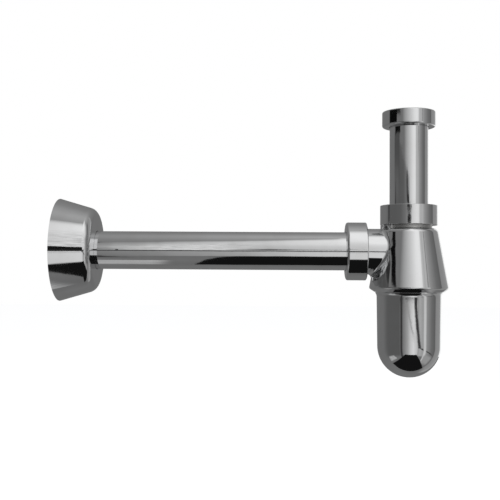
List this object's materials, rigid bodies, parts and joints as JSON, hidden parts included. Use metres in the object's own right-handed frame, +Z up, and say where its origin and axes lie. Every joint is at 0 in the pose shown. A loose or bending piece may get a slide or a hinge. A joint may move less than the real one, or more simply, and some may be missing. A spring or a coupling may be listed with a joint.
{
  "type": "bottle trap",
  "caption": "Chromed bottle trap for a wash basin: upright inlet tube with union nut, screwed cup, level outlet tube with slip nut and bell-shaped wall flange.",
  "frame": {"origin": "mouth of the union nut, on the inlet tube's axis", "axes": "+Z up along the inlet tube, the outlet tube runs to -X and ends at the wall"},
  "size_m": [0.3264, 0.0864, 0.222],
  "materials": {
    "chrome": "mirror-polished chrome plating on brass",
    "rubber": "black moulded rubber, matte",
    "ring_plastic": "white polypropylene"
  },
  "bodies": {
    "trap_body": {"trap_body": "chrome"},
    "inlet_swivel": {"inlet_cone_seal": "rubber"},
    "inlet_tube": {"inlet_tube": "chrome", "inlet_washer": "rubber"},
    "union_slip_ring": {"union_slip_ring": "ring_plastic"},
    "union_nut": {"union_nut": "chrome"},
    "inlet_friction_ring": {"inlet_friction_ring": "ring_plastic"},
    "inlet_slip_nut": {"inlet_slip_nut": "chrome"},
    "cup_gasket": {"cup_gasket": "rubber"},
    "trap_cup": {"trap_cup": "chrome"},
    "outlet_swivel": {"outlet_cone_seal": "rubber"},
    "outlet_tube": {"outlet_tube": "chrome"},
    "wall_flange": {"wall_flange": "chrome"},
    "outlet_friction_ring": {"outlet_friction_ring": "ring_plastic"},
    "outlet_slip_nut": {"outlet_slip_nut": "chrome"}
  },
  "joints": [
    {"name": "inlet_swivel", "type": "hinge", "parent": "trap_body", "child": "inlet_swivel", "pos_m": [0, 0, 0], "axis": [0, 0, 1], "continuous": true},
    {"name": "inlet_height", "type": "slide", "parent": "inlet_swivel", "child": "inlet_tube", "axis": [0, 0, 1], "range_m": [-0.014, 0.01]},
    {"name": "union_drop", "type": "slide", "parent": "inlet_tube", "child": "union_slip_ring", "axis": [0, 0, 1], "range_m": [-0.04, 0]},
    {"name": "union_nut_turn", "type": "hinge", "parent": "union_slip_ring", "child": "union_nut", "pos_m": [0, 0, 0], "axis": [0, 0, 1], "continuous": true},
    {"name": "inlet_nut_travel", "type": "slide", "parent": "trap_body", "child": "inlet_friction_ring", "axis": [0, 0, 1], "range_m": [0, 0.01]},
    {"name": "inlet_nut_turn", "type": "hinge", "parent": "inlet_friction_ring", "child": "inlet_slip_nut", "pos_m": [0, 0, 0], "axis": [0, 0, 1], "range_deg": [0, 1559]},
    {"name": "cup_travel", "type": "slide", "parent": "trap_body", "child": "cup_gasket", "axis": [0, 0, 1], "range_m": [-0.011, 0]},
    {"name": "cup_turn", "type": "hinge", "parent": "cup_gasket", "child": "trap_cup", "pos_m": [0, 0, 0], "axis": [0, 0, 1], "range_deg": [-1979, 0]},
    {"name": "outlet_swivel", "type": "hinge", "parent": "trap_body", "child": "outlet_swivel", "pos_m": [0, 0, -0.1173], "axis": [-1, 0, 0], "continuous": true},
    {"name": "outlet_length", "type": "slide", "parent": "outlet_swivel", "child": "outlet_tube", "axis": [-1, 0, 0], "range_m": [-0.0045, 0.01]},
    {"name": "flange_slide", "type": "slide", "parent": "outlet_tube", "child": "wall_flange", "axis": [-1, 0, 0], "range_m": [-0.19, 0]},
    {"name": "outlet_nut_travel", "type": "slide", "parent": "trap_body", "child": "outlet_friction_ring", "axis": [-1, 0, 0], "range_m": [0, 0.01]},
    {"name": "outlet_nut_turn", "type": "hinge", "parent": "outlet_friction_ring", "child": "outlet_slip_nut", "pos_m": [0, 0, -0.1173], "axis": [-1, 0, 0], "range_deg": [0, 1559]}
  ],
  "couplings": [
    {"joint": "inlet_nut_travel", "follows": "inlet_nut_turn", "m_per_rad": 0.00036749},
    {"joint": "cup_travel", "follows": "cup_turn", "m_per_rad": 0.00031831},
    {"joint": "outlet_nut_travel", "follows": "outlet_nut_turn", "m_per_rad": 0.00036749}
  ]
}
